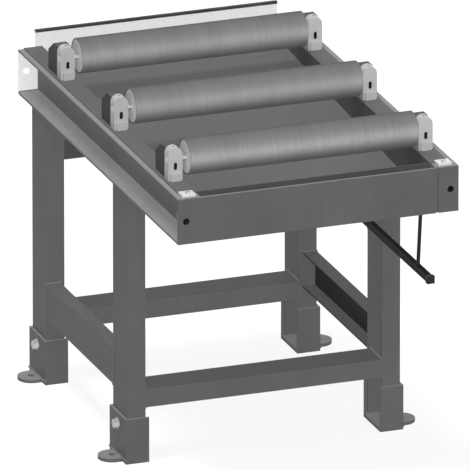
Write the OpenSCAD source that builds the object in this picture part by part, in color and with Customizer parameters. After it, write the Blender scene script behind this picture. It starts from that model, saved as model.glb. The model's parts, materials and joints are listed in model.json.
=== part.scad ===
// Roller conveyor table: three idle rollers on fixed axles over a sloping drip pan,
// on a welded channel frame with four height-adjustable feet.
// X runs along the rollers, Y along the direction of travel, Z up.
// The origin is on the floor under the centre of the deck.

/* [Deck] */
// Length of the deck along the direction of travel
deck_l = 1000; // [960:5:1100]
// Width of the deck over both rails
deck_w = 620; // [600:5:720]
// Height of the rails' underside above the floor
deck_z = 600; // [540:5:760]
// Height of a side rail
rail_h = 100; // [90:1:120]
// Width of a rail's flanges
rail_w = 50; // [48:1:60]
// Thickness of a rail's web and flanges
rail_t = 5; // [4:0.5:6]
// Thickness of the front plate
front_t = 6; // [4:0.5:8]
// Thickness of the rear plate
rear_t = 4; // [3:0.5:5]
// Height of the rear plate's raised middle above the rails
rear_rise = 37; // [20:1:50]
// Reach of the raised middle over each rail
rear_over = 12; // [0:1:20]
// Radius of the bolt holes in the end plates
end_hole_r = 7; // [4:0.5:9]
// Distance of an end plate's bolt hole from the plate's end
end_hole_in = 18; // [14:1:24]
// Wall of the edge strip on the rear plate
trim_t = 2; // [1:0.5:3]
// Height of the edge strip
trim_h = 6; // [5:1:18]
// Wall of the sleeves behind the front bolt holes
end_sleeve_wall = 4; // [2:0.5:6]
// Length of those sleeves
end_sleeve_l = 30; // [20:1:50]
// Width of the slit between the front plate and its end pad
pad_slit = 4; // [2:0.5:6]

/* [Drip pan] */
// Sheet thickness of the pan
pan_t = 2; // [1.5:0.5:3]
// Gap between the pan's side walls and the rails' webs
pan_gap = 1; // [0.5:0.5:3]
// Width of rail flange left bare outside the pan's flange
pan_bare = 12; // [8:1:14]
// Distance of the pan's front wall from the front plate
pan_short = 25; // [20:1:40]
// Depth of the pan's floor below the rails at the front
pan_deep_front = 85; // [70:1:92]
// Depth of the pan's floor below the rails at the rear
pan_deep_rear = 25; // [15:1:40]
// Width of a pan clamp
clamp_w = 30; // [26:1:40]
// Length of a pan clamp
clamp_l = 25; // [24:1:32]
// Thickness of a pan clamp above the pan's flange
clamp_t = 3.5; // [3:0.5:8]
// Radius of a clamp bolt's shank
clamp_bolt_r = 3; // [2.5:0.5:4]

/* [Rollers] */
// Outside radius of a roller
tube_r = 38; // [34:0.5:42]
// Wall of a roller's tube
tube_wall = 3; // [2:0.5:5]
// Gap between a roller's end and the axle block
roller_gap = 9; // [8:0.5:30]
// Height of the roller axis above the rails
axis_rise = 48; // [46:1:56]
// Distance of the first roller from the deck's front
first_in = 120; // [110:1:140]
// Distance of the last roller from the deck's rear
rear_in = 214; // [190:2:280]
// Radius of an axle
axle_r = 8; // [6:0.5:9]
// Outside radius of a bearing
bearing_r = 23.5; // [21:0.5:26]
// Width of a bearing
bearing_w = 14; // [10:0.5:16]
// Running clearance between axle and bearing, on the radius
run_gap = 0.05; // [0.02:0.01:0.1]
// Thickness of the hub's inner shoulder
hub_lip = 3; // [2:0.5:5]
// Thickness of a roller's end cap
cap_t = 3; // [2:0.5:4]
// Depth of the end cap inside the tube's end
cap_in = 1; // [0.5:0.5:3]

/* [Axle blocks] */
// Width of an axle block along the axle
block_w = 31; // [28:1:36]
// Thickness of an axle block along the travel
block_d = 24; // [22:1:32]
// Distance of a block's inner face from the rail's web
block_in = 1.5; // [1:0.5:7]
// Height of the arched top above the axle
block_rise = 26; // [25:1:44]
// Width of the toe in front of a block
toe_w = 23; // [16:1:26]
// Height of the toe
toe_h = 17; // [10:1:20]
// Reach of the toe in front of the block
toe_out = 5; // [3:0.5:8]
// Length of the brace behind a block
brace_l = 60; // [50:1:84]
// Width of a brace
brace_w = 28; // [24:1:32]
// Height of a brace at the block
brace_front_h = 67; // [60:1:80]
// Length of a brace's flat top
brace_flat = 26; // [10:1:40]
// Height of a brace at its rear end
brace_rear_h = 43; // [24:1:48]
// Radius of a block bolt's shank
block_bolt_r = 5; // [4:0.5:6]
// Half width of the blind slot in a block's front
block_hole_r = 3.5; // [2.5:0.5:4]
// Height of that slot
block_hole_h = 16; // [12:1:20]

/* [Legs and stretchers] */
// Length of a leg channel's web
leg_d = 90; // [80:1:100]
// Width of a leg channel's flanges
leg_w = 40; // [36:1:46]
// Thickness of a leg channel
leg_t = 5; // [4:0.5:6]
// Distance of the legs' outer faces in from the deck's sides
leg_in = 6; // [0:1:9]
// Distance of the front legs from the deck's front
leg_front_in = 330; // [300:5:360]
// Distance of the rear legs' front faces from the deck's rear
leg_rear_in = 164; // [150:2:200]
// Thickness of the stretchers
bar_t = 4; // [3:0.5:5]
// Height of the front and rear stretchers' underside
cross_z = 120; // [118:1:180]
// Height of the front and rear stretchers
cross_h = 41; // [30:1:60]
// Depth of the front and rear stretchers
cross_d = 74; // [50:1:78]
// Height of the side stretchers' underside
side_z = 146; // [120:1:260]
// Height of the side stretchers
side_h = 80; // [50:1:100]
// Width of the side stretchers
side_w = 32; // [24:1:36]

// Height of the rear tie's underside
tie_z = 500; // [300:5:525]
// Height of the rear tie
tie_h = 45; // [30:1:60]
// Depth of the rear tie
tie_d = 40; // [30:1:60]

/* [Feet] */
// Height of a foot
foot_h = 100; // [90:1:110]
// Thickness of a foot's base plate
foot_base = 8; // [5:0.5:10]
// Thickness of a foot's sleeve
foot_t = 5; // [4:0.5:6]
// Gap between a leg and its sleeve
foot_gap = 1; // [0.5:0.25:1.5]
// Width of a sleeve's flanges
foot_w = 52; // [50:1:60]
// Height of a leg's lower end above the floor
leg_z = 12; // [11:0.5:14]
// Travel of a foot on its leg
foot_travel = 50; // [40:1:52]
// Radius of the anchor ear's round end
ear_r = 30; // [24:1:36]
// Distance of the anchor hole from the sleeve
ear_out = 13; // [12:1:20]
// Radius of an anchor hole
anchor_r = 7; // [5:0.5:8]
// Height of the clamp bolt's axis
bolt_z = 76; // [74:1:80]
// Radius of the clamp bolt's shank
bolt_r = 6; // [5:0.5:6.5]
// Gap between the clamp bolt and its slot or washer face
bolt_gap = 1; // [0.5:0.25:1.5]
// Thickness of the clamp bolt's washers
washer_t = 2.5; // [1.5:0.5:3]

/* [Drain] */
// Width of the return gutter
gutter_w = 14; // [13:1:18]
// Gap between the return gutter and the leg
gutter_gap = 7.5; // [5:0.5:12]
// Height of the return gutter
gutter_h = 14; // [10:1:20]
// Wall of the return gutter
gutter_t = 1.5; // [1:0.5:2]
// Distance of the gutter's underside below the rails
gutter_drop = 153.5; // [120:0.5:200]
// Length of the return gutter
gutter_l = 456; // [420:2:600]
// Wall of the gutter's end cap
end_cap_t = 1.5; // [1:0.5:3]
// Length of the gutter's end cap
end_cap_l = 12; // [8:1:20]
// Outside radius of the drain tube
drain_r = 4; // [3.5:0.5:4.5]
// Wall of the drain tube
drain_wall = 1.5; // [1:0.25:2]
// Wall of the drain outlet
outlet_wall = 2; // [1.5:0.5:3]
// Distance of the outlet behind the pan's front wall
outlet_in = 18; // [15:1:30]
// Distance of the outlet from the pan's side wall
outlet_side = 13; // [13:1:20]
// Distance that the drain tube runs back
drain_back = 30; // [20:1:60]
// Thickness of the gutter's bracket
bracket_t = 4; // [3:0.5:5]
// Height of the bracket's upright
bracket_h = 44; // [36:1:60]
// Depth of the bracket's shelf
bracket_d = 30; // [20:1:40]
// Radius of the bracket's bolt
bracket_bolt_r = 4; // [3:0.5:5]

/* [Hidden] */
$fn = 48;

half_w = deck_w / 2;
half_l = deck_l / 2;
pitch = (deck_l - first_in - rear_in) / 2;
web_x = half_w - rail_w;
rail_top = deck_z + rail_h;
front_y = -half_l + front_t;
rear_y = half_l - trim_t - rear_t;
end_hole_x = half_w - end_hole_in;
end_hole_z = deck_z + rail_h / 2;
raised_x = web_x + rear_over;
pad_x = web_x + rail_t + pad_slit / 4;

pan_x = web_x - pan_gap;
pan_flange_x = half_w - pan_bare;
pan_y = front_y + pan_short;
pan_top = rail_top + pan_t;
pan_floor_front = rail_top - pan_deep_front;
pan_floor_rear = rail_top - pan_deep_rear;
pan_slope = (pan_floor_rear - pan_floor_front) / (rear_y - pan_y);
clamp_x = pan_flange_x - clamp_w;
clamp_y = front_y + clamp_w / 9;
clamp_bolt_x = clamp_x + clamp_w / 2;
clamp_bolt_y = clamp_y + clamp_l * 0.36;
clamp_bolt_gap = clamp_bolt_r / 10;

axis_z = rail_top + axis_rise;
tube_in = tube_r - tube_wall;
block_x = web_x + block_in;
half_tube = block_x - roller_gap;
cap_x = half_tube - cap_in - cap_t;
bearing_x = cap_x - bearing_w;
block_out = block_x + block_w;
block_mid = block_x + block_w / 2;
block_top = axis_z + block_rise;
block_hole_z = pan_top + toe_h * 1.6;
block_bolt_hole = block_bolt_r * 1.1;
block_bolt_in = block_bolt_r * 2.8;
brace_bolt_y = block_d / 2 + brace_l * 0.6;
axle_end = block_out - axle_r / 5;
axle_screw_r = axle_r * 0.375;

leg_out = half_w - leg_in;
leg_x = leg_out - leg_w;
leg_fy = -half_l + leg_front_in;
leg_ry = half_l - leg_rear_in;
slot_r = bolt_r + bolt_gap;
nut_in = washer_t + bolt_r * 1.7;
sleeve_x = leg_out + foot_gap + foot_t;
sleeve_in_x = sleeve_x - foot_w;
ear_x = sleeve_x + ear_out;
slide_gap = bolt_gap / 10;

gutter_x = leg_x - gutter_gap - gutter_w;
gutter_z = deck_z - gutter_drop;
gutter_y = -half_l + end_cap_t;
outlet_x = pan_x - pan_t - outlet_side;
outlet_y = pan_y + outlet_in;
outlet_r = drain_r + outlet_wall;
outlet_z = pan_floor_front + pan_slope * outlet_in;
outlet_low = deck_z - outlet_r;
drain_x = gutter_x + gutter_w / 2;
drain_end_z = gutter_z + gutter_t + drain_r;
drain_dx = drain_x - outlet_x;
drain_top_z = outlet_low - drain_r * 1.4;
drain_dz = drain_end_z - drain_top_z;
drain_l = sqrt(drain_dx * drain_dx + drain_back * drain_back + drain_dz * drain_dz);
bracket_x = leg_x + leg_w * 0.8;
bracket_y = leg_fy + leg_t;
bracket_bolt_x = leg_x + leg_w * 0.45;
bracket_bolt_z = gutter_z - bracket_h / 2;

paint = [0.38, 0.385, 0.39];
zinc = [0.75, 0.76, 0.76];
steel = [0.62, 0.63, 0.64];
black = [0.06, 0.06, 0.06];

// A box between two corners
module box_at(a, b) {
    translate(a)
        cube([b[0] - a[0], b[1] - a[1], b[2] - a[2]]);
}

// The children on both sides of the deck
module both_sides() {
    children();
    mirror([1, 0, 0])
        children();
}

// A front or side profile drawn in Y and Z, extruded along X
module along_x(x0, x1) {
    translate([x0, 0, 0])
        rotate([90, 0, 90])
            linear_extrude(x1 - x0)
                children();
}

// A profile drawn in X and Z, extruded along Y
module along_y(y0, y1) {
    translate([0, y1, 0])
        rotate([90, 0, 0])
            linear_extrude(y1 - y0)
                children();
}

// A round bar along X
module bar_x(x0, x1, y, z, r) {
    translate([x0, y, z])
        rotate([0, 90, 0])
            cylinder(h = x1 - x0, r = r);
}

// A round bar along Y
module bar_y(y0, y1, x, z, r) {
    translate([x, y1, z])
        rotate([90, 0, 0])
            cylinder(h = y1 - y0, r = r);
}

// A bolt standing on its head's underside, pointing up
module bolt_up(r, l) {
    cylinder(h = l, r = r);
    translate([0, 0, -r * 1.3])
        cylinder(h = r * 1.3, r = r * 1.8, $fn = 6);
}

// The children at each roller
module at_rollers() {
    for (i = [0 : 2])
        translate([0, -half_l + first_in + i * pitch, 0])
            children();
}

// Right-hand rail, a channel that opens outward
module rail() {
    difference() {
        along_y(front_y, rear_y)
            polygon([[web_x, deck_z], [half_w, deck_z], [half_w, deck_z + rail_t],
                [web_x + rail_t, deck_z + rail_t], [web_x + rail_t, rail_top - rail_t],
                [half_w, rail_top - rail_t], [half_w, rail_top], [web_x, rail_top]]);
        at_rollers()
            for (y = [0, brace_bolt_y])
                translate([block_mid, y, rail_top - rail_t * 2])
                    cylinder(h = rail_t * 3, r = block_bolt_hole);
        translate([clamp_bolt_x, clamp_bolt_y, rail_top - rail_t * 2])
            cylinder(h = rail_t * 3, r = clamp_bolt_r);
    }
}

module rail_right() {
    color(paint)
        rail();
}

module rail_left() {
    color(paint)
        mirror([1, 0, 0])
            rail();
}

module front_plate() {
    color(paint)
        difference() {
            box_at([-half_w, -half_l, deck_z], [pad_x - pad_slit, front_y, rail_top]);
            mirror([1, 0, 0])
                bar_y(-half_l - front_t, front_y + front_t, end_hole_x, end_hole_z, end_hole_r);
        }
}

// Separate pad over the right rail's front end
module end_pad() {
    color(paint)
        difference() {
            box_at([pad_x, -half_l, deck_z], [half_w, front_y, rail_top]);
            bar_y(-half_l - front_t, front_y + front_t, end_hole_x, end_hole_z, end_hole_r);
        }
}

// Sleeves behind the front bolt holes
module end_sleeves() {
    color(paint)
        both_sides()
            difference() {
                bar_y(front_y, front_y + end_sleeve_l, end_hole_x, end_hole_z,
                    end_hole_r + end_sleeve_wall);
                bar_y(front_y - front_t, rear_y, end_hole_x, end_hole_z, end_hole_r);
            }
}

module rear_plate() {
    color(zinc)
        difference() {
            union() {
                box_at([-half_w, rear_y, deck_z], [half_w, rear_y + rear_t, rail_top]);
                box_at([-raised_x, rear_y, deck_z],
                    [raised_x, rear_y + rear_t, rail_top + rear_rise]);
            }
            both_sides()
                bar_y(rear_y - rear_t, half_l + rear_t, end_hole_x, end_hole_z, end_hole_r);
        }
}

// Black strip pushed over the rear plate's top edge
module edge_strip() {
    color(black)
        difference() {
            box_at([-raised_x, rear_y - trim_t, rail_top + rear_rise + trim_t - trim_h],
                [raised_x, half_l, rail_top + rear_rise + trim_t]);
            box_at([-half_w, rear_y, deck_z], [half_w, rear_y + rear_t, rail_top + rear_rise]);
        }
}

// Folded pan: sloping floor, side walls with flanges over the rails, front wall
module drip_pan() {
    color(paint * 0.83)
        difference() {
            union() {
                along_x(-pan_x, pan_x)
                    polygon([[pan_y, pan_floor_front - pan_t], [rear_y, pan_floor_rear - pan_t],
                        [rear_y, pan_floor_rear], [pan_y + pan_t, pan_floor_front + pan_slope * pan_t],
                        [pan_y + pan_t, pan_top], [pan_y, pan_top]]);
                both_sides() {
                    along_x(pan_x - pan_t, pan_x)
                        polygon([[pan_y, pan_floor_front - pan_t], [rear_y, pan_floor_rear - pan_t],
                            [rear_y, pan_top], [pan_y, pan_top]]);
                    box_at([pan_x - pan_t, pan_y, rail_top], [pan_flange_x, rear_y, pan_top]);
                }
            }
            both_sides()
                at_rollers()
                    for (y = [0, brace_bolt_y])
                        translate([block_mid, y, rail_top - pan_t])
                            cylinder(h = pan_t * 3, r = block_bolt_hole);
            translate([outlet_x, outlet_y, deck_z])
                cylinder(h = rail_h, r = outlet_r);
        }
}

module pan_clamps() {
    color(zinc)
        both_sides()
            difference() {
                along_x(clamp_x, pan_flange_x)
                    polygon([[clamp_y, rail_top], [pan_y - pan_gap, rail_top],
                        [pan_y - pan_gap, pan_top], [clamp_y + clamp_l, pan_top],
                        [clamp_y + clamp_l, pan_top + clamp_t], [clamp_y, pan_top + clamp_t]]);
                translate([clamp_bolt_x, clamp_bolt_y, deck_z])
                    cylinder(h = rail_h * 2, r = clamp_bolt_r + clamp_bolt_gap);
            }
}

module pan_clamp_bolts() {
    color(steel)
        both_sides()
            translate([clamp_bolt_x, clamp_bolt_y, pan_top + clamp_t])
                mirror([0, 0, 1])
                    bolt_up(clamp_bolt_r, pan_t + clamp_t + rail_t * 1.6);
}

// Parts of one roller, drawn about the axle's axis
module tube() {
    difference() {
        bar_x(-half_tube, half_tube, 0, axis_z, tube_r);
        bar_x(-half_w, half_w, 0, axis_z, tube_in);
    }
}

module hubs() {
    both_sides()
        difference() {
            bar_x(bearing_x - hub_lip, cap_x, 0, axis_z, tube_in);
            bar_x(bearing_x, half_w, 0, axis_z, bearing_r);
            bar_x(0, half_w, 0, axis_z, bearing_r * 0.6);
        }
}

module bearings() {
    both_sides()
        difference() {
            bar_x(bearing_x, cap_x, 0, axis_z, bearing_r);
            bar_x(0, half_w, 0, axis_z, axle_r + run_gap);
            difference() {
                bar_x(cap_x - bearing_w / 14, half_w, 0, axis_z, bearing_r * 0.85);
                bar_x(0, half_w, 0, axis_z, axle_r * 1.35);
            }
        }
}

module caps() {
    both_sides()
        difference() {
            bar_x(cap_x, cap_x + cap_t, 0, axis_z, tube_in);
            bar_x(0, half_w, 0, axis_z, axle_r * 1.15);
        }
}

module axle() {
    bar_x(-axle_end, axle_end, 0, axis_z, axle_r);
}

module roller_at(i) {
    translate([0, -half_l + first_in + i * pitch, 0])
        children();
}

module roller1_tube() {
    color(steel)
        roller_at(0)
            tube();
}

module roller1_hubs() {
    color(steel)
        roller_at(0)
            hubs();
}

module roller1_bearings() {
    color(steel)
        roller_at(0)
            bearings();
}

module roller1_caps() {
    color(zinc)
        roller_at(0)
            caps();
}

module roller1_axle() {
    color(steel)
        roller_at(0)
            axle();
}

module roller2_tube() {
    color(steel)
        roller_at(1)
            tube();
}

module roller2_hubs() {
    color(steel)
        roller_at(1)
            hubs();
}

module roller2_bearings() {
    color(steel)
        roller_at(1)
            bearings();
}

module roller2_caps() {
    color(zinc)
        roller_at(1)
            caps();
}

module roller2_axle() {
    color(steel)
        roller_at(1)
            axle();
}

module roller3_tube() {
    color(steel)
        roller_at(2)
            tube();
}

module roller3_hubs() {
    color(steel)
        roller_at(2)
            hubs();
}

module roller3_bearings() {
    color(steel)
        roller_at(2)
            bearings();
}

module roller3_caps() {
    color(zinc)
        roller_at(2)
            caps();
}

module roller3_axle() {
    color(steel)
        roller_at(2)
            axle();
}

// A blind upright slot in the front face of a block
module front_slot(x) {
    top = block_hole_z + block_hole_h - block_hole_r * 2;
    bar_y(-block_d, -block_d * 0.3, x, block_hole_z, block_hole_r);
    bar_y(-block_d, -block_d * 0.3, x, top, block_hole_r);
    box_at([x - block_hole_r, -block_d, block_hole_z], [x + block_hole_r, -block_d * 0.3, top]);
}

// Arched blocks that hold the fixed axles, each with a toe in front
module axle_blocks() {
    color(zinc)
        both_sides()
            at_rollers()
                difference() {
                    union() {
                        box_at([block_x, -block_d / 2, pan_top],
                            [block_out, block_d / 2, block_top - block_w / 2]);
                        bar_y(-block_d / 2, block_d / 2, block_mid, block_top - block_w / 2,
                            block_w / 2);
                        box_at([block_mid - toe_w / 2, -block_d / 2 - toe_out, pan_top],
                            [block_mid + toe_w / 2, 0, pan_top + toe_h]);
                    }
                    bar_x(web_x, half_w, 0, axis_z, axle_r);
                    translate([block_mid, 0, axis_z])
                        cylinder(h = block_rise * 1.5, r = axle_screw_r);
                    front_slot(block_mid);
                    translate([block_mid, 0, rail_top])
                        cylinder(h = pan_t + block_bolt_in * 1.1, r = block_bolt_r);
                }
}

// Wedge-shaped braces behind the blocks
module block_braces() {
    color(black)
        both_sides()
            at_rollers()
                difference() {
                    along_x(block_mid - brace_w / 2, block_mid + brace_w / 2)
                        polygon([[block_d / 2, pan_top], [block_d / 2 + brace_l, pan_top],
                            [block_d / 2 + brace_l, pan_top + brace_rear_h],
                            [block_d / 2 + brace_flat, pan_top + brace_front_h],
                            [block_d / 2, pan_top + brace_front_h]]);
                    translate([block_mid, brace_bolt_y, rail_top])
                        cylinder(h = pan_t + block_bolt_in * 1.1, r = block_bolt_r);
                }
}

// Bolts from under the top flanges up into the blocks and braces
module block_bolts() {
    color(steel)
        both_sides()
            at_rollers()
                for (y = [0, brace_bolt_y])
                    translate([block_mid, y, rail_top - rail_t])
                        bolt_up(block_bolt_r, rail_t + pan_t + block_bolt_in);
}

// Set screws down from the blocks' tops onto the axles
module axle_screws() {
    color(black)
        both_sides()
            at_rollers()
                translate([block_mid, 0, axis_z + axle_r + axle_r / 50])
                    difference() {
                        cylinder(h = block_rise - axle_r * 1.1, r = axle_screw_r);
                        translate([0, 0, block_rise - axle_r * 1.6])
                            cylinder(h = axle_r, r = axle_screw_r * 0.55, $fn = 6);
                    }
}

// A right-hand leg, a channel that opens inward, with the clamp bolt's slot
module leg(y0) {
    slot_y = y0 + leg_d / 2;
    slot_low = bolt_z - foot_travel;
    difference() {
        box_at([leg_x, y0, leg_z], [leg_out, y0 + leg_d, deck_z]);
        box_at([leg_x - leg_t, y0 + leg_t, 0], [leg_out - leg_t, y0 + leg_d - leg_t, rail_top]);
        bar_x(leg_x, leg_out + leg_t, slot_y, slot_low, slot_r);
        bar_x(leg_x, leg_out + leg_t, slot_y, bolt_z, slot_r);
        box_at([leg_x, slot_y - slot_r, slot_low], [leg_out + leg_t, slot_y + slot_r, bolt_z]);
    }
}

module leg_fl() {
    color(paint)
        mirror([1, 0, 0])
            leg(leg_fy);
}

module leg_fr() {
    color(paint)
        difference() {
            leg(leg_fy);
            bar_y(leg_fy - leg_t, leg_fy + leg_t * 2, bracket_bolt_x, bracket_bolt_z,
                bracket_bolt_r * 1.1);
        }
}

module leg_rl() {
    color(paint)
        mirror([1, 0, 0])
            leg(leg_ry);
}

module leg_rr() {
    color(paint)
        leg(leg_ry);
}

// A cross stretcher, a channel that opens downward
module cross_bar(y0) {
    y1 = y0 + cross_d;
    z1 = cross_z + cross_h;
    along_x(-leg_x, leg_x)
        polygon([[y0, cross_z], [y0 + bar_t, cross_z], [y0 + bar_t, z1 - bar_t],
            [y1 - bar_t, z1 - bar_t], [y1 - bar_t, cross_z], [y1, cross_z], [y1, z1], [y0, z1]]);
}

module stretcher_front() {
    color(paint)
        cross_bar(leg_fy);
}

module stretcher_rear() {
    color(paint)
        cross_bar(leg_ry);
}

// Angle between the rear legs, under the pan
module tie_rear() {
    y1 = leg_ry + tie_d;
    z1 = tie_z + tie_h;
    color(paint)
        along_x(-leg_x, leg_x)
            polygon([[leg_ry, tie_z], [leg_ry + bar_t, tie_z], [leg_ry + bar_t, z1 - bar_t],
                [y1, z1 - bar_t], [y1, z1], [leg_ry, z1]]);
}

// A right-hand side stretcher, a channel that opens inward
module side_bar() {
    x0 = leg_out - side_w;
    x1 = leg_out - bar_t;
    z1 = side_z + side_h;
    along_y(leg_fy + leg_d, leg_ry)
        polygon([[x0, side_z], [leg_out, side_z], [leg_out, z1], [x0, z1], [x0, z1 - bar_t],
            [x1, z1 - bar_t], [x1, side_z + bar_t], [x0, side_z + bar_t]]);
}

module stretcher_left() {
    color(paint)
        mirror([1, 0, 0])
            side_bar();
}

module stretcher_right() {
    color(paint)
        side_bar();
}

// A right-hand foot: sleeve round the leg on a base plate with an anchor ear
module foot(y0) {
    lap = foot_gap + foot_t;
    mid = y0 + leg_d / 2;
    difference() {
        union() {
            difference() {
                box_at([sleeve_in_x, y0 - lap, 0], [sleeve_x, y0 + leg_d + lap, foot_h]);
                box_at([sleeve_in_x - foot_t, y0 - foot_gap, foot_base],
                    [sleeve_x - foot_t, y0 + leg_d + foot_gap, foot_h + foot_t]);
            }
            box_at([sleeve_x - foot_t, mid - ear_r, 0], [ear_x, mid + ear_r, foot_base]);
            translate([ear_x, mid, 0])
                cylinder(h = foot_base, r = ear_r);
        }
        translate([ear_x, mid, -foot_base])
            cylinder(h = foot_base * 3, r = anchor_r);
        bar_x(leg_x, sleeve_x + foot_t, mid, bolt_z, bolt_r);
    }
}

module foot_fl() {
    color(paint)
        mirror([1, 0, 0])
            foot(leg_fy);
}

module foot_fr() {
    color(paint)
        foot(leg_fy);
}

module foot_rl() {
    color(paint)
        mirror([1, 0, 0])
            foot(leg_ry);
}

module foot_rr() {
    color(paint)
        foot(leg_ry);
}

// A right-hand clamp bolt with its washers and nut
module foot_bolt(y0) {
    mid = y0 + leg_d / 2;
    inner = leg_out - leg_t - slide_gap;
    bar_x(inner - nut_in - bolt_r / 2, sleeve_x + washer_t, mid, bolt_z, bolt_r);
    bar_x(sleeve_x, sleeve_x + washer_t, mid, bolt_z, bolt_r * 2);
    translate([sleeve_x + washer_t, mid, bolt_z])
        rotate([0, 90, 0])
            cylinder(h = bolt_r * 1.25, r = bolt_r * 1.75, $fn = 6);
    bar_x(inner - washer_t, inner, mid, bolt_z, bolt_r * 2);
    translate([inner - nut_in, mid, bolt_z])
        rotate([0, 90, 0])
            cylinder(h = nut_in - washer_t, r = bolt_r * 1.75, $fn = 6);
}

module foot_bolt_fl() {
    color(zinc)
        mirror([1, 0, 0])
            foot_bolt(leg_fy);
}

module foot_bolt_fr() {
    color(zinc)
        foot_bolt(leg_fy);
}

module foot_bolt_rl() {
    color(zinc)
        mirror([1, 0, 0])
            foot_bolt(leg_ry);
}

module foot_bolt_rr() {
    color(zinc)
        foot_bolt(leg_ry);
}

// Spout through the pan's floor, with a flange lying on the floor
module drain_outlet() {
    color(steel)
        difference() {
            union() {
                translate([outlet_x, outlet_y, outlet_low])
                    cylinder(h = outlet_z - outlet_low, r = outlet_r);
                translate([outlet_x, outlet_y, outlet_z])
                    rotate([atan(pan_slope), 0, 0])
                        cylinder(h = outlet_wall, r = outlet_r * 2);
            }
            translate([outlet_x, outlet_y, deck_z - rail_h])
                cylinder(h = rail_h * 2, r = drain_r);
        }
}

// Tube from the outlet down into the gutter, with a swivel bead at its bend
module drain_tube() {
    color(black)
        translate([outlet_x, outlet_y, drain_top_z]) {
            cylinder(h = outlet_low - drain_top_z + outlet_r, r = drain_r);
            sphere(r = drain_r * 1.25);
            rotate([0, acos(drain_dz / drain_l), atan2(drain_back, drain_dx)])
                cylinder(h = drain_l, r = drain_r);
        }
}

module return_gutter() {
    color(paint)
        difference() {
            box_at([gutter_x, gutter_y, gutter_z],
                [gutter_x + gutter_w, gutter_y + gutter_l, gutter_z + gutter_h]);
            box_at([gutter_x + gutter_t, gutter_y - gutter_t, gutter_z + gutter_t],
                [gutter_x + gutter_w - gutter_t, gutter_y + gutter_l + gutter_t,
                    gutter_z + gutter_h * 2]);
        }
}

module gutter_cap() {
    color(black)
        difference() {
            box_at([gutter_x - end_cap_t, -half_l, gutter_z - end_cap_t],
                [gutter_x + gutter_w + end_cap_t, -half_l + end_cap_l,
                    gutter_z + gutter_h + end_cap_t]);
            box_at([gutter_x, gutter_y, gutter_z],
                [gutter_x + gutter_w, gutter_y + gutter_l, gutter_z + gutter_h]);
        }
}

// Angle bracket behind the leg's front flange, with a shelf under the gutter
module gutter_bracket() {
    color(paint)
        difference() {
            union() {
                box_at([gutter_x, bracket_y, gutter_z - bracket_t],
                    [bracket_x, bracket_y + bracket_d, gutter_z]);
                box_at([leg_x, bracket_y, gutter_z - bracket_h],
                    [bracket_x, bracket_y + bracket_t, gutter_z]);
            }
            bar_y(leg_fy, bracket_y + bracket_d, bracket_bolt_x, bracket_bolt_z,
                bracket_bolt_r * 1.1);
        }
}

module gutter_bolt() {
    color(steel) {
        translate([bracket_bolt_x, leg_fy, bracket_bolt_z])
            rotate([-90, 0, 0])
                bolt_up(bracket_bolt_r, leg_t + bracket_t + bracket_bolt_r * 2);
        translate([bracket_bolt_x, bracket_y + bracket_t, bracket_bolt_z])
            rotate([-90, 0, 0])
                cylinder(h = bracket_bolt_r * 1.5, r = bracket_bolt_r * 1.8, $fn = 6);
    }
}

rail_left();
rail_right();
front_plate();
end_pad();
end_sleeves();
rear_plate();
edge_strip();
drip_pan();
pan_clamps();
pan_clamp_bolts();
roller1_tube();
roller1_hubs();
roller1_bearings();
roller1_caps();
roller1_axle();
roller2_tube();
roller2_hubs();
roller2_bearings();
roller2_caps();
roller2_axle();
roller3_tube();
roller3_hubs();
roller3_bearings();
roller3_caps();
roller3_axle();
axle_blocks();
block_braces();
block_bolts();
axle_screws();
leg_fl();
leg_fr();
leg_rl();
leg_rr();
stretcher_front();
stretcher_rear();
stretcher_left();
stretcher_right();
tie_rear();
foot_fl();
foot_fr();
foot_rl();
foot_rr();
foot_bolt_fl();
foot_bolt_fr();
foot_bolt_rl();
foot_bolt_rr();
drain_outlet();
drain_tube();
return_gutter();
gutter_cap();
gutter_bracket();
gutter_bolt();
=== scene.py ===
"""Looks of the roller conveyor table: finished pieces, materials, light and camera."""
import json
import math

import bpy
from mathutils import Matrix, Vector

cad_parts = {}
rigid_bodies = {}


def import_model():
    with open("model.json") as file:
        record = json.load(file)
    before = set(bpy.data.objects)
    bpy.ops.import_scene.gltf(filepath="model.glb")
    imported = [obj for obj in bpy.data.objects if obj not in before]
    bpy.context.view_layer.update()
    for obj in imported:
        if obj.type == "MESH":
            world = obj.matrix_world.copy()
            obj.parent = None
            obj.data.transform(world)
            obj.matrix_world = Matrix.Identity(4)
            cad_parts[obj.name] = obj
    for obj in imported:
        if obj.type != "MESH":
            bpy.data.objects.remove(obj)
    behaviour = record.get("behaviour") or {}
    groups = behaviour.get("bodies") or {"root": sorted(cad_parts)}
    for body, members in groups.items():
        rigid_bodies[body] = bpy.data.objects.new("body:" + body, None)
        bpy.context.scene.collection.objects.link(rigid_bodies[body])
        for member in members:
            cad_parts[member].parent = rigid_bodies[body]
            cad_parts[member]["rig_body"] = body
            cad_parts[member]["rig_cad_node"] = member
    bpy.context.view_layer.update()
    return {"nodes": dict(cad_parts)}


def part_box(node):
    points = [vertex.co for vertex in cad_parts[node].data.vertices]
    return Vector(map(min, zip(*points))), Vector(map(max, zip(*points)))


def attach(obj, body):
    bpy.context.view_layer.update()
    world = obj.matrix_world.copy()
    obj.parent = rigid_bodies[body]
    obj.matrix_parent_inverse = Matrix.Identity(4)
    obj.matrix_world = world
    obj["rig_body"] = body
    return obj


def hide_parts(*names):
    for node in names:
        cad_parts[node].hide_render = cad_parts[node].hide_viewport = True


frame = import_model()
MM = 0.001

# Places read from the frame, in metres.
CORNERS = ("fl", "fr", "rl", "rr")
LEG = {corner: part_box("leg_" + corner) for corner in CORNERS}
FOOT = {corner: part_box("foot_" + corner) for corner in CORNERS}
AXLE_RADIUS = 8.0 * MM
ROLLER_Y = [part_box("roller%d_axle" % number)[0].y + AXLE_RADIUS for number in (1, 2, 3)]

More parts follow.
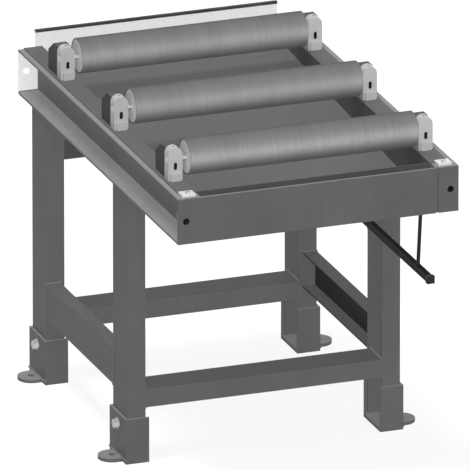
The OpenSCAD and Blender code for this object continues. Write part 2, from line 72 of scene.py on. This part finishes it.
# The bolt holes of the front plate, with a little more than their radius.
END_HOLE = Vector((292.0 * MM, 0.0, 650.0 * MM))
END_HOLE_RADIUS = 7.3 * MM

# The axle blocks: the X of their middles and their whole depth. The upright slots in their fronts: how far in
# the middle of their depth lies, their half sizes, and the heights between which their faces' middles lie.
BLOCK_MIDDLE = 277.0 * MM
BLOCK_DEPTH = 24.0 * MM
SLOT_MIDDLE_IN = 2.8 * MM
SLOT_HALF_DEPTH = 2.2 * MM
SLOT_HALF_WIDTH = 4.0 * MM
SLOT_LOW = 722.0 * MM
SLOT_HIGH = 748.0 * MM

# Sizes that the weld seams follow.
BEAD = 2.6 * MM
SLEEVE_OUT = 6.0 * MM
FOOT_BASE = 8.0 * MM
RAIL_WALL = 5.0 * MM
SEAM_INSET = 8.0 * MM
RAIL_SEAM_END = 308.0 * MM

# A face whose normal has more than FACING along an axis points that way, and one whose normal has less
# than EDGE_ON along it stands edge-on to it.
FACING = 0.7
EDGE_ON = 0.5

# How a copy of a CAD node is cleaned: merge distance, and the angle under which faces count as flat.
MERGE_DISTANCE = 0.00001
FLAT_ANGLE = 1.0

# Edges sharper than this angle, in degrees, are rounded and stay sharp in the shading.
EDGE_ANGLE = 35.0

# A weld ripple's distance and its sizes along, across and up, as shares of the bead's radius, and the
# angle up to which its facets are shaded smooth.
RIPPLE_STEP = 0.62
RIPPLE_SHAPE = (0.7, 1.0, 0.8)
RIPPLE_ANGLE = 60.0


# Materials.

def material(name):
    """A new node material: its tree, its shader and its object coordinates."""
    mat = bpy.data.materials.new(name)
    mat.use_nodes = True
    tree = mat.node_tree
    shader = tree.nodes["Principled BSDF"]
    place = tree.nodes.new("ShaderNodeTexCoord").outputs["Object"]
    return mat, tree, shader, place


def mapped(tree, place, scale):
    """Object coordinates stretched along the axes."""
    node = tree.nodes.new("ShaderNodeMapping")
    node.inputs["Scale"].default_value = scale
    tree.links.new(place, node.inputs["Vector"])
    return node.outputs["Vector"]


def noise(tree, place, scale, detail=4.0, roughness=0.55):
    """A noise from 0 to 1 over the given coordinates."""
    node = tree.nodes.new("ShaderNodeTexNoise")
    node.inputs["Scale"].default_value = scale
    node.inputs["Detail"].default_value = detail
    node.inputs["Roughness"].default_value = roughness
    tree.links.new(place, node.inputs["Vector"])
    return node.outputs["Fac"]


def ramp(tree, factor, stops):
    """A colour ramp with (position, grey or colour) stops."""
    node = tree.nodes.new("ShaderNodeValToRGB")
    points = node.color_ramp.elements
    while len(points) < len(stops):
        points.new(0.5)
    for point, (position, colour) in zip(points, stops):
        if isinstance(colour, (int, float)):
            colour = (colour, colour, colour)
        point.position = position
        point.color = (*colour, 1.0)
    tree.links.new(factor, node.inputs["Fac"])
    return node.outputs["Color"]


def mixed(tree, factor, first, second):
    """Two colours mixed; factor may be a number or a socket."""
    node = tree.nodes.new("ShaderNodeMix")
    node.data_type = "RGBA"
    for socket, value in ((node.inputs[0], factor), (node.inputs[6], first), (node.inputs[7], second)):
        if isinstance(value, bpy.types.NodeSocket):
            tree.links.new(value, socket)
        elif isinstance(value, tuple):
            socket.default_value = (*value, 1.0)
        else:
            socket.default_value = value
    return node.outputs[2]


def bumped(tree, shader, height, strength, distance):
    """Gives the shader a relief from a height."""
    node = tree.nodes.new("ShaderNodeBump")
    node.inputs["Strength"].default_value = strength
    node.inputs["Distance"].default_value = distance
    tree.links.new(height, node.inputs["Height"])
    tree.links.new(node.outputs["Normal"], shader.inputs["Normal"])


def shaded(colour, share):
    """A colour made darker or lighter, but no lighter than white."""
    return tuple(min(1.0, channel * share) for channel in colour)


# What a grey is multiplied by, for each channel: paint, turned steel, the dark and light crystals and the
# scuffs of zinc plate, and the bloom on rubber and plastic.
PAINT_TINT = (1.0, 1.004, 1.012)
STEEL_TINT = (1.0, 1.003, 1.008)
DARK_CRYSTAL = (0.93, 0.94, 0.95)
LIGHT_CRYSTAL = (1.0, 1.0, 1.01)
SCUFF_TINT = (0.72, 0.73, 0.75)
BLOOM_TINT = (2.2, 2.2, 2.3)


def painted(name, grey, rough=0.42):
    """Sprayed paint: faint orange peel, patchy dust and small chips."""
    mat, tree, shader, place = material(name)
    patches = noise(tree, place, 5.0)
    base = shaded(PAINT_TINT, grey)
    cloud = ramp(tree, patches, [(0.3, shaded(base, 0.92)), (0.7, shaded(base, 1.07))])
    streaks = noise(tree, mapped(tree, place, (30.0, 30.0, 3.0)), 2.0, 3.0)
    grimy = mixed(tree, ramp(tree, streaks, [(0.48, 0.0), (0.72, 0.22)]), cloud, shaded(base, 0.72))
    specks = noise(tree, place, 260.0, 2.0)
    chips = ramp(tree, specks, [(0.755, 0.0), (0.775, 1.0)])
    colour = mixed(tree, chips, grimy, shaded(base, 1.7))
    tree.links.new(colour, shader.inputs["Base Color"])
    tree.links.new(ramp(tree, patches, [(0.3, rough - 0.05), (0.7, rough + 0.09)]),
                   shader.inputs["Roughness"])
    shader.inputs["Specular IOR Level"].default_value = 0.025
    bumped(tree, shader, noise(tree, place, 620.0, 2.0), 0.16, 0.0004)
    return mat


def plated(name, grey, rough=0.34, metal=0.85):
    """Zinc plate: soft crystal patches, a cold tint and fine scuffs."""
    mat, tree, shader, place = material(name)
    crystal = tree.nodes.new("ShaderNodeTexVoronoi")
    crystal.inputs["Scale"].default_value = 160.0
    tree.links.new(place, crystal.inputs["Vector"])
    tone = ramp(tree, crystal.outputs["Color"],
                [(0.0, shaded(DARK_CRYSTAL, grey)), (1.0, shaded(LIGHT_CRYSTAL, grey))])
    scuffs = noise(tree, mapped(tree, place, (1.0, 9.0, 2.0)), 60.0, 5.0, 0.7)
    colour = mixed(tree, ramp(tree, scuffs, [(0.55, 0.0), (0.75, 0.3)]), tone, shaded(SCUFF_TINT, grey))
    tree.links.new(colour, shader.inputs["Base Color"])
    tree.links.new(ramp(tree, scuffs, [(0.3, rough), (0.8, rough + 0.16)]),
                   shader.inputs["Roughness"])
    shader.inputs["Metallic"].default_value = metal
    bumped(tree, shader, scuffs, 0.12, 0.0003)
    return mat


def turned(name, grey, rough=0.3, metal=0.9, edge=1.0):
    """Steel turned about X: fine rings and faint rubbed bands; edge dulls what it mirrors at a glance."""
    mat, tree, shader, place = material(name)
    rings = noise(tree, mapped(tree, place, (900.0, 6.0, 6.0)), 1.0, 3.0)
    bands = noise(tree, mapped(tree, place, (26.0, 1.0, 1.0)), 1.0, 4.0)
    base = shaded(STEEL_TINT, grey)
    cloud = ramp(tree, bands, [(0.3, shaded(base, 0.9)), (0.7, base)])
    colour = mixed(tree, ramp(tree, rings, [(0.5, 0.0), (0.8, 0.45)]), cloud, shaded(base, 0.8))
    tree.links.new(colour, shader.inputs["Base Color"])
    tree.links.new(ramp(tree, rings, [(0.3, rough - 0.04), (0.75, rough + 0.12)]),
                   shader.inputs["Roughness"])
    shader.inputs["Metallic"].default_value = metal
    shader.inputs["Specular Tint"].default_value = (edge, edge, edge, 1.0)
    bumped(tree, shader, rings, 0.2, 0.0002)
    return mat


def moulded(name, grey, rough=0.6):
    """Black rubber or plastic: a fine grain and a dusty bloom."""
    mat, tree, shader, place = material(name)
    bloom = noise(tree, place, 22.0, 5.0)
    colour = ramp(tree, bloom, [(0.35, grey), (0.8, shaded(BLOOM_TINT, grey))])
    tree.links.new(colour, shader.inputs["Base Color"])
    shader.inputs["Roughness"].default_value = rough
    shader.inputs["Specular IOR Level"].default_value = 0.15
    bumped(tree, shader, noise(tree, place, 900.0, 2.0), 0.25, 0.0003)
    return mat


FRAME_PAINT = painted("frame_paint", 0.127)
# The rails' paint is lighter than the frame's: painted light, for the light on their lower flanges.
LIT_RAIL_PAINT = painted("lit_rail_paint", 0.152)
# The pan's paint is darker than the frame's: painted shade, for the pan's floor and for the rear tie under
# the deck.
SHADED_PAN_PAINT = painted("pan_paint", 0.076, rough=0.5)
WELD_PAINT = painted("weld_paint", 0.125, rough=0.5)
BRACE_PAINT = painted("brace_paint", 0.055, rough=0.5)
# A darker paint for the stretchers' tops: painted shade, for the deck's shade on them.
SHADED_TOP_PAINT = painted("painted_shade_tops", 0.066, rough=0.6)
# A near-black paint as painted shade: for the right stretcher's shaded recess and undersides, and the gutter
# under the deck.
DEEP_SHADE_PAINT = painted("deep_shade_paint", 0.034, rough=0.6)
# Near-black for the walls of holes and slots: painted shade, since the fill lamps cast no shadow into them.
HOLE_SHADE_BLACK = moulded("hole_shade_black", 0.004, rough=0.8)
ZINC = plated("zinc_plate", 0.34, rough=0.42, metal=0.3)
CLAMP_ZINC = plated("clamp_zinc", 0.52, rough=0.42, metal=0.3)
BRIGHT_ZINC = plated("bright_zinc", 0.8, rough=0.5, metal=0.05)
ROLLER_STEEL = turned("roller_steel", 0.215, rough=0.6, metal=0.9, edge=0.12)
CAP_STEEL = plated("cap_steel", 0.5, rough=0.45, metal=0.2)
AXLE_STEEL = turned("axle_steel", 0.5, rough=0.3)
BOLT_ZINC = plated("bolt_zinc", 0.42, rough=0.34, metal=0.6)
BLACK_OXIDE = moulded("black_oxide", 0.03, rough=0.4)
RUBBER = moulded("black_rubber", 0.028, rough=0.7)
HOSE = moulded("black_hose", 0.005, rough=0.5)


# Modelling helpers.

def deselect():
    """Object mode with nothing selected."""
    if bpy.context.object and bpy.context.object.mode != "OBJECT":
        bpy.ops.object.mode_set(mode="OBJECT")
    bpy.ops.object.select_all(action="DESELECT")


def active(obj):
    """Selects one object alone and makes it the active one."""
    deselect()
    obj.select_set(True)
    bpy.context.view_layer.objects.active = obj


def apply_modifier(obj, kind, **settings):
    """Adds a modifier with its settings and applies it."""
    active(obj)
    modifier = obj.modifiers.new(kind.lower(), kind)
    for key, value in settings.items():
        setattr(modifier, key, value)
    bpy.ops.object.modifier_apply(modifier=modifier.name)


def smooth(obj, angle=EDGE_ANGLE):
    """Smooth shading where faces meet at less than the angle, in degrees."""
    active(obj)
    bpy.ops.object.shade_smooth_by_angle(angle=math.radians(angle))


def settle(obj, name, mat, body):
    """Names a finished piece, puts its place into its mesh, gives it its finish and its body."""
    active(obj)
    bpy.ops.object.transform_apply(location=True, rotation=True, scale=True)
    obj.name = name
    obj.data.name = name
    obj.data.materials.clear()
    obj.data.materials.append(mat)
    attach(obj, body)


def joined(parts):
    """Several meshes as one."""
    deselect()
    for part in parts:
        part.select_set(True)
    bpy.context.view_layer.objects.active = parts[0]
    if len(parts) > 1:
        bpy.ops.object.join()
    return bpy.context.view_layer.objects.active


def finished(node, body, mat, edge, segments=2):
    """A copy of a CAD node with its edges rounded, in its place."""
    active(frame["nodes"][node])
    bpy.ops.object.duplicate()
    obj = bpy.context.object
    obj.parent = None
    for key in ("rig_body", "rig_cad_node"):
        if key in obj:
            del obj[key]
    bpy.ops.object.mode_set(mode="EDIT")
    bpy.ops.mesh.select_all(action="SELECT")
    bpy.ops.mesh.remove_doubles(threshold=MERGE_DISTANCE)
    bpy.ops.mesh.dissolve_limited(angle_limit=math.radians(FLAT_ANGLE))
    bpy.ops.object.mode_set(mode="OBJECT")
    apply_modifier(obj, "BEVEL", width=edge, segments=segments, limit_method="ANGLE",
                   angle_limit=math.radians(EDGE_ANGLE), use_clamp_overlap=True)
    smooth(obj)
    apply_modifier(obj, "WEIGHTED_NORMAL", keep_sharp=True)
    settle(obj, node + "_finished", mat, body)
    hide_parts(node)


def part_painted(name, mat, chosen):
    """Gives the faces of a finished piece that are chosen, by middle and normal, another paint."""
    mesh = bpy.data.objects[name].data
    mesh.materials.append(mat)
    for face in mesh.polygons:
        if chosen(face.center, face.normal):
            face.material_index = len(mesh.materials) - 1


def weld(start, end, size):
    """A weld seam: overlapping ripples from start to end."""
    start, end = Vector(start), Vector(end)
    along = end - start
    count = max(2, int(along.length / (size * RIPPLE_STEP)))
    deselect()
    bpy.ops.mesh.primitive_uv_sphere_add(segments=8, ring_count=6, radius=size, location=start)
    bead = bpy.context.object
    bead.rotation_euler = along.to_track_quat("X", "Z").to_euler()
    bead.scale = RIPPLE_SHAPE
    bpy.ops.object.transform_apply(location=False, rotation=True, scale=True)
    apply_modifier(bead, "ARRAY", count=count, use_relative_offset=False, use_constant_offset=True,
                   constant_offset_displace=along / (count - 1))
    bpy.ops.object.transform_apply(location=True, rotation=True, scale=True)
    return bead


# The frame and what is bolted to it.

for name in ("rail_left", "rail_right"):
    finished(name, "frame", LIT_RAIL_PAINT, 1.6 * MM, 3)
finished("front_plate", "frame", FRAME_PAINT, 1.2 * MM, 3)
finished("end_pad", "frame", FRAME_PAINT, 1.2 * MM, 3)
finished("end_sleeves", "frame", FRAME_PAINT, 0.8 * MM)
finished("rear_plate", "frame", BRIGHT_ZINC, 0.9 * MM)
finished("edge_strip", "frame", RUBBER, 0.7 * MM)
finished("drip_pan", "frame", SHADED_PAN_PAINT, 0.7 * MM)
for corner in CORNERS:
    finished("leg_" + corner, "frame", FRAME_PAINT, 1.8 * MM, 3)
    finished("foot_" + corner, "foot_" + corner, FRAME_PAINT, 1.2 * MM, 2)
    finished("foot_bolt_" + corner, "foot_" + corner, BOLT_ZINC, 0.7 * MM, 2)
# The stretchers' tops get the darker paint as painted shade, for the deck's shade on them.
for side in ("front", "rear", "left", "right"):
    finished("stretcher_" + side, "frame", FRAME_PAINT, 1.6 * MM, 3)
    part_painted("stretcher_%s_finished" % side, SHADED_TOP_PAINT, lambda middle, normal: normal.z > FACING)
# The rear tie gets the pan's darker paint as painted shade, for the shade under the deck.
finished("tie_rear", "frame", SHADED_PAN_PAINT, 1.6 * MM, 3)
# The right stretcher's inward-facing side and its undersides get the near-black paint: painted shade in its
# recess under the deck.
part_painted("stretcher_right_finished", DEEP_SHADE_PAINT,
             lambda middle, normal: normal.x < -FACING or normal.z < -FACING)


def in_end_hole(middle, normal):
    """The walls of the bolt holes in the front plate, its pad and their sleeves, for painted shade."""
    from_axis = math.hypot(abs(middle.x) - END_HOLE.x, middle.z - END_HOLE.z)
    return abs(normal.y) < EDGE_ON and from_axis < END_HOLE_RADIUS


def in_front_slot(middle, normal):
    """The walls and the floor of the upright slots in the axle blocks' fronts, for painted shade."""
    depth = min(abs(middle.y - y + 0.5 * BLOCK_DEPTH - SLOT_MIDDLE_IN) for y in ROLLER_Y)
    across = abs(abs(middle.x) - BLOCK_MIDDLE)
    return depth < SLOT_HALF_DEPTH and across < SLOT_HALF_WIDTH and SLOT_LOW < middle.z < SLOT_HIGH


# The walls of the front plate's bolt holes get the near-black: painted shade.
for name in ("front_plate", "end_pad", "end_sleeves"):
    part_painted(name + "_finished", HOLE_SHADE_BLACK, in_end_hole)

finished("pan_clamps", "frame", CLAMP_ZINC, 0.8 * MM)
finished("pan_clamp_bolts", "frame", BOLT_ZINC, 0.4 * MM)
finished("axle_blocks", "frame", ZINC, 0.8 * MM, 2)
# The walls and floor of the blocks' slots get the near-black: painted shade.
part_painted("axle_blocks_finished", HOLE_SHADE_BLACK, in_front_slot)
finished("block_braces", "frame", BRACE_PAINT, 1.2 * MM, 3)
finished("block_bolts", "frame", BOLT_ZINC, 0.6 * MM)
finished("axle_screws", "frame", BLACK_OXIDE, 0.3 * MM)
finished("drain_outlet", "frame", ZINC, 0.5 * MM)
finished("drain_tube", "frame", HOSE, 0.5 * MM)
# The gutter's near-black paint is partly its own dark colour and partly painted shade from the deck above.
finished("return_gutter", "frame", DEEP_SHADE_PAINT, 0.5 * MM)
finished("gutter_cap", "frame", HOSE, 1.0 * MM, 3)
finished("gutter_bracket", "frame", FRAME_PAINT, 0.8 * MM)
finished("gutter_bolt", "frame", BOLT_ZINC, 0.5 * MM)


# The rollers and their fixed axles.

for number in (1, 2, 3):
    label = "roller%d" % number
    finished(label + "_tube", label, ROLLER_STEEL, 1.0 * MM, 3)
    finished(label + "_hubs", label, ZINC, 0.6 * MM)
    finished(label + "_bearings", label, AXLE_STEEL, 0.5 * MM)
    finished(label + "_caps", label, CAP_STEEL, 0.6 * MM)
    finished(label + "_axle", "frame", AXLE_STEEL, 1.0 * MM, 2)


# Weld seams.

def weld_set(name, body, lines):
    """All the seams of one joint as one piece."""
    seam = joined([weld(start, end, BEAD) for start, end in lines])
    smooth(seam, RIPPLE_ANGLE)
    settle(seam, name, WELD_PAINT, body)


def sides(low, high):
    """Which way along X a piece beside the middle faces out, and its outer and inner X."""
    side = 1.0 if high.x > 0 else -1.0
    return side, side * max(abs(low.x), abs(high.x)), side * min(abs(low.x), abs(high.x))


for corner, (low, high) in LEG.items():
    side, outer, inner = sides(low, high)
    top = high.z
    weld_set("weld_leg_" + corner, "frame", [
        ((outer, low.y, top), (outer, high.y, top)),
        ((inner, low.y, top), (outer, low.y, top)),
        ((inner, high.y, top), (outer, high.y, top)),
    ])
    foot_low, foot_high = FOOT[corner]
    sleeve = outer + side * SLEEVE_OUT
    weld_set("weld_foot_" + corner, "foot_" + corner, [
        ((sleeve, foot_low.y, FOOT_BASE), (sleeve, foot_high.y, FOOT_BASE)),
    ])

for name in ("front", "rear"):
    low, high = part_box("stretcher_" + name)
    weld_set("weld_stretcher_" + name, "frame", [
        line
        for x in (low.x, high.x)
        for line in (((x, low.y, low.z), (x, low.y, high.z)), ((x, low.y, high.z), (x, high.y, high.z)),
                     ((x, high.y, low.z), (x, high.y, high.z)))
    ])

for name in ("left", "right"):
    low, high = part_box("stretcher_" + name)
    _, outer, inner = sides(low, high)
    weld_set("weld_stretcher_" + name, "frame", [
        line
        for y in (low.y, high.y)
        for line in (((outer, y, low.z), (outer, y, high.z)), ((inner, y, high.z), (outer, y, high.z)),
                     ((inner, y, low.z), (outer, y, low.z)))
    ])

for name in ("rail_left", "rail_right"):
    low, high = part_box(name)
    side, _, inner = sides(low, high)
    web = inner + side * RAIL_WALL
    weld_set("weld_" + name, "frame", [
        ((web, y, low.z + SEAM_INSET), (web, y, high.z - SEAM_INSET)) for y in (low.y, high.y)
    ] + [
        ((web, y, z), (side * RAIL_SEAM_END, y, z))
        for y in (low.y, high.y) for z in (low.z + RAIL_WALL, high.z - RAIL_WALL)
    ])


# Floor, background, lamps and camera.

# The sky's grey as light on the parts; the floor's size, how much of it glows where it is seen, and its
# tones where it is seen and as light on the parts.
WHITE = (1.0, 1.0, 1.0)
SKY = 0.18
FLOOR_SIZE = 16.0
FLOOR_GLOW = 0.5
FLOOR_SEEN = (0.66, 0.66, 0.66)
FLOOR_TO_PARTS = (0.12, 0.12, 0.12)


def shows_white(tree):
    """1 for what the camera sees directly, in a reflection or through something clear, else 0."""
    light_path = tree.nodes.new("ShaderNodeLightPath")
    seen = light_path.outputs["Is Camera Ray"]
    for ray in ("Is Glossy Ray", "Is Transmission Ray"):
        either = tree.nodes.new("ShaderNodeMath")
        either.operation = "MAXIMUM"
        tree.links.new(seen, either.inputs[0])
        tree.links.new(light_path.outputs[ray], either.inputs[1])
        seen = either.outputs[0]
    return seen


world = bpy.data.worlds.new("studio")
bpy.context.scene.world = world
world.use_nodes = True
sky_tree = world.node_tree
background = sky_tree.nodes["Background"]
sky_colour = mixed(sky_tree, shows_white(sky_tree), (SKY, SKY, SKY * 1.02), WHITE)
sky_tree.links.new(sky_colour, background.inputs["Color"])
background.inputs["Strength"].default_value = 1.0

deselect()
bpy.ops.mesh.primitive_plane_add(size=FLOOR_SIZE, location=(0.0, 0.0, 0.0))
floor = bpy.context.object
floor.name = "floor"
floor_mat, floor_tree, floor_shader, _ = material("floor_white")
floor_colour = mixed(floor_tree, shows_white(floor_tree), FLOOR_TO_PARTS, FLOOR_SEEN)
floor_tree.links.new(floor_colour, floor_shader.inputs["Base Color"])
floor_shader.inputs["Roughness"].default_value = 1.0
floor_shader.inputs["Specular IOR Level"].default_value = 0.0
floor_glow = floor_tree.nodes.new("ShaderNodeEmission")
floor_mix = floor_tree.nodes.new("ShaderNodeMixShader")
floor_share = floor_tree.nodes.new("ShaderNodeMath")
floor_share.operation = "MULTIPLY"
floor_share.inputs[1].default_value = FLOOR_GLOW
floor_tree.links.new(shows_white(floor_tree), floor_share.inputs[0])
floor_tree.links.new(floor_share.outputs[0], floor_mix.inputs[0])
floor_tree.links.new(floor_shader.outputs[0], floor_mix.inputs[1])
floor_tree.links.new(floor_glow.outputs[0], floor_mix.inputs[2])
floor_tree.links.new(floor_mix.outputs[0], floor_tree.nodes["Material Output"].inputs["Surface"])
floor.data.materials.append(floor_mat)


def lamp(name, strength, spread, source, shadows=True, in_reflections=False, on_colours=True):
    """A soft distant lamp from the given direction, seen in reflections or lighting colours, or both."""
    data = bpy.data.lights.new(name, "SUN")
    data.energy = strength
    data.angle = math.radians(spread)
    data.use_shadow = shadows
    obj = bpy.data.objects.new(name, data)
    obj.rotation_euler = Vector(source).to_track_quat("Z", "Y").to_euler()
    obj.visible_glossy = in_reflections
    obj.visible_diffuse = on_colours
    bpy.context.scene.collection.objects.link(obj)


lamp("key", 1.5, 16.0, (-0.20, -0.03, 0.97))
lamp("top_fill", 1.5, 30.0, (-0.13, -0.03, 0.99), shadows=False)
lamp("front_fill", 1.24, 30.0, (-0.08, -0.96, 0.25), shadows=False, in_reflections=True)
lamp("low_fill", 1.13, 30.0, (-0.08, -0.94, -0.34), shadows=False, in_reflections=True)
lamp("gleam", 2.2, 30.0, (-0.20, -0.93, -0.20), shadows=False, in_reflections=True,
     on_colours=False)
lamp("side_fill", 2.1, 30.0, (-0.37, -0.05, 0.92), shadows=False)
lamp("rear_fill", 1.9, 30.0, (0.35, 0.93, 0.04), shadows=False)
lamp("right_fill", 1.0, 30.0, (0.98, 0.10, 0.04), shadows=False)
lamp("rear_gleam", 2.6, 20.0, (0.32, 0.88, -0.34), shadows=False, in_reflections=True,
     on_colours=False)

# The camera looks from far off, nearly in parallel, and its view is this many metres wide at its aim.
CAMERA_AZIMUTH = math.radians(-20.0)
CAMERA_ELEVATION = math.radians(20.0)
CAMERA_AWAY = 44.0
SENSOR_WIDTH = 36.0
VIEW_WIDTH = 0.9868
AIM = Vector((-0.003, 0.0, 0.414))

camera_data = bpy.data.cameras.new("camera")
camera_data.sensor_width = SENSOR_WIDTH
camera_data.lens = SENSOR_WIDTH * CAMERA_AWAY / VIEW_WIDTH
camera_data.clip_end = 300.0
camera = bpy.data.objects.new("camera", camera_data)
back = Vector((math.sin(CAMERA_AZIMUTH) * math.cos(CAMERA_ELEVATION),
               -math.cos(CAMERA_AZIMUTH) * math.cos(CAMERA_ELEVATION),
               math.sin(CAMERA_ELEVATION)))
camera.location = AIM + back * CAMERA_AWAY
camera.rotation_euler = (math.pi / 2 - CAMERA_ELEVATION, 0.0, CAMERA_AZIMUTH)
bpy.context.scene.collection.objects.link(camera)
bpy.context.scene.camera = camera
bpy.context.scene.view_settings.view_transform = "Standard"
